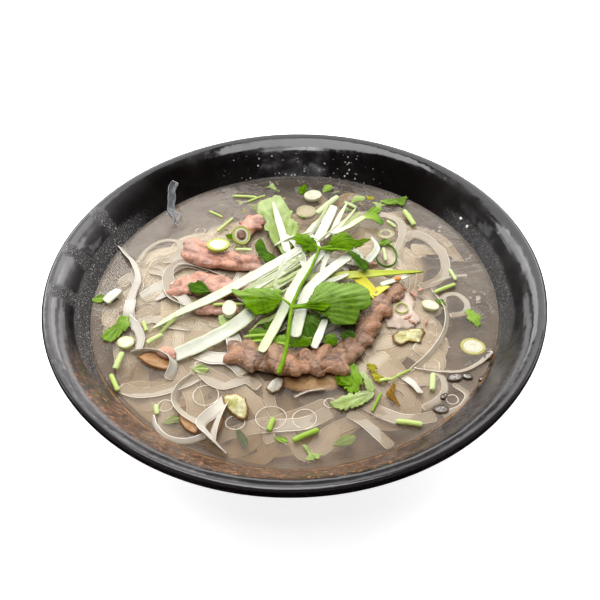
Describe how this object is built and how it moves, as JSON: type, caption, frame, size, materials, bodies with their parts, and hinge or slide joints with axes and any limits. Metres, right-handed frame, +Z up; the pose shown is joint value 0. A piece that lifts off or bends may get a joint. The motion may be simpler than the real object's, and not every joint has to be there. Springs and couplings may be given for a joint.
{
  "type": "pho noodle soup",
  "caption": "Wide black bowl of pho noodle soup: clear broth over flat rice noodles, sliced beef, white scallion strips, a coriander sprig and loose chopped greens.",
  "frame": {"origin": "middle of the bowl's foot, on the surface it stands on", "axes": "+Z up through the bowl's mouth, -Y towards the diner, +X to the diner's right"},
  "size_m": [0.23, 0.23, 0.078],
  "materials": {
    "black_glaze": "gloss",
    "broth": "gloss",
    "rice_noodle": "gloss",
    "beef": "satin",
    "beef_fat": "satin",
    "scallion_white": "satin",
    "scallion_yellow": "satin",
    "scallion_green": "satin",
    "leaf_green": "satin",
    "leaf_pale": "satin",
    "coriander_stalk": "satin"
  },
  "bodies": {
    "root": {"beef_back_morsel": "beef", "beef_fat_piece": "beef_fat", "beef_flat_slice": "beef", "beef_front_fold": "beef", "beef_front_slice": "beef", "beef_left_morsel": "beef", "beef_right_fold": "beef", "beef_right_tip": "beef", "beef_rolled_slice": "beef", "beef_tucked_slice": "beef", "bowl": "black_glaze", "broth": "broth", "coriander_sprig": "leaf_green", "leaf_back_dark": "leaf_green", "leaf_back_pale": "leaf_pale", "leaf_back_spiky": "leaf_green", "leaf_cluster": "leaf_pale", "leaf_front": "leaf_pale", "leaf_left": "leaf_pale", "leaf_long_light": "leaf_pale", "leaf_on_beef": "leaf_green", "leaf_right": "leaf_pale", "leaf_under_sprig": "leaf_green", "noodle_on_wall": "rice_noodle", "noodles": "rice_noodle", "scallion_back": "scallion_white", "scallion_bulb": "scallion_white", "scallion_curl_front": "scallion_green", "scallion_left": "scallion_white", "scallion_mid_right": "scallion_white", "scallion_on_beef": "scallion_white", "scallion_right": "scallion_white", "scallion_ring_back": "scallion_green", "stalk_back": "coriander_stalk", "stalk_front": "coriander_stalk", "stalk_front_right": "coriander_stalk", "stalk_left": "coriander_stalk", "stalk_left_edge": "coriander_stalk", "stalk_left_lower": "coriander_stalk", "stalk_mid_right": "coriander_stalk", "stalk_right": "coriander_stalk", "stalk_right_back": "coriander_stalk", "strip_back": "scallion_white", "strip_broad": "scallion_white", "strip_chunk_left": "scallion_white", "strip_curled": "scallion_white", "strip_fan_right": "scallion_white", "strip_front": "scallion_white", "strip_green_end": "scallion_green", "strip_long": "scallion_white", "strip_orange_tip": "scallion_white", "strip_pointed": "scallion_yellow", "strip_short": "scallion_white", "strip_steep": "scallion_white", "strip_stub": "scallion_white", "strip_tall": "scallion_white", "strip_thin": "scallion_white", "strip_wide": "scallion_white", "strip_yellow_end": "scallion_yellow"}
  },
  "joints": []
}
